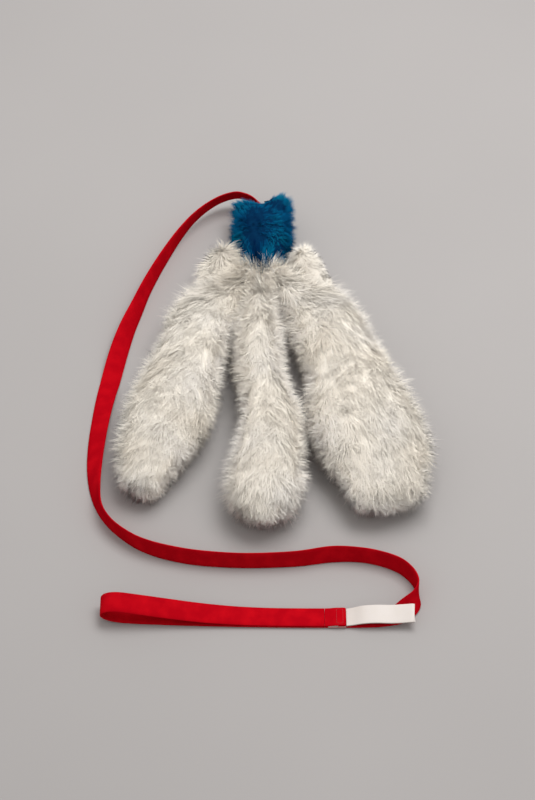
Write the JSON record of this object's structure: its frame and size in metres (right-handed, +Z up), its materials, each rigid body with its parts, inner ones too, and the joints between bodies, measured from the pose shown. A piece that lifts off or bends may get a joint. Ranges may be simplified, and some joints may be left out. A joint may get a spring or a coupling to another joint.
{
  "type": "dog chase toy",
  "caption": "Flirt toy for dogs: fluffy sheepskin tails sewn into a dyed fur collar on a long flat webbing lead that ends in a sewn hand loop with a blank ribbon label.",
  "frame": {"origin": "middle of the collar's flat underside, on the surface that the toy lies on", "axes": "+Z up; +Y from the tails towards the head of the collar; +X to the right tail"},
  "size_m": [0.34, 0.5588, 0.066],
  "materials": {
    "webbing": "flat woven polyester webbing, slightly glossy",
    "ribbon": "folded satin ribbon, blank",
    "dyed_fur": "short dense dyed fur",
    "dyed_skin": "suede side of the dyed fur",
    "skin": "undyed suede side of the sheepskin",
    "wool": "long natural sheep's wool, cream"
  },
  "bodies": {
    "collar_and_lead": {"collar_fur": "dyed_fur", "collar_skin": "dyed_skin", "lead_sewn_end": "webbing", "lead_webbing": "webbing", "loop_seam": "webbing", "left_shoulder_wool": "wool", "right_shoulder_wool": "wool", "left_tail_sewn_end": "skin", "middle_tail_sewn_end": "skin", "right_tail_sewn_end": "skin"},
    "left_tail": {"left_tail_skin": "skin", "left_tail_wool": "wool"},
    "middle_tail": {"middle_tail_skin": "skin", "middle_tail_wool": "wool"},
    "right_tail": {"right_tail_skin": "skin", "right_tail_wool": "wool"},
    "hand_loop": {"hand_loop": "webbing"},
    "label": {"loop_label": "ribbon"}
  },
  "joints": [
    {"name": "left_tail_lift", "type": "hinge", "parent": "collar_and_lead", "child": "left_tail", "pos_m": [-0.01676, -0.047, 0.02155], "axis": [-0.884, 0.3016, -0.3572], "range_deg": [0, 90]},
    {"name": "middle_tail_lift", "type": "hinge", "parent": "collar_and_lead", "child": "middle_tail", "pos_m": [-0.004, -0.047, 0.0238], "axis": [-0.9998, -0.0184, 0], "range_deg": [0, 90]},
    {"name": "right_tail_lift", "type": "hinge", "parent": "collar_and_lead", "child": "right_tail", "pos_m": [0.00876, -0.047, 0.02155], "axis": [-0.8776, -0.3227, 0.3546], "range_deg": [0, 90]},
    {"name": "hand_loop_lift", "type": "hinge", "parent": "collar_and_lead", "child": "hand_loop", "pos_m": [0.058, -0.478, 0.0043], "axis": [0, 1, 0], "range_deg": [0, 90]},
    {"name": "label_lift", "type": "hinge", "parent": "collar_and_lead", "child": "label", "pos_m": [0.0783, -0.478, 0.0041], "axis": [0, -1, 0], "range_deg": [0, 100]}
  ]
}
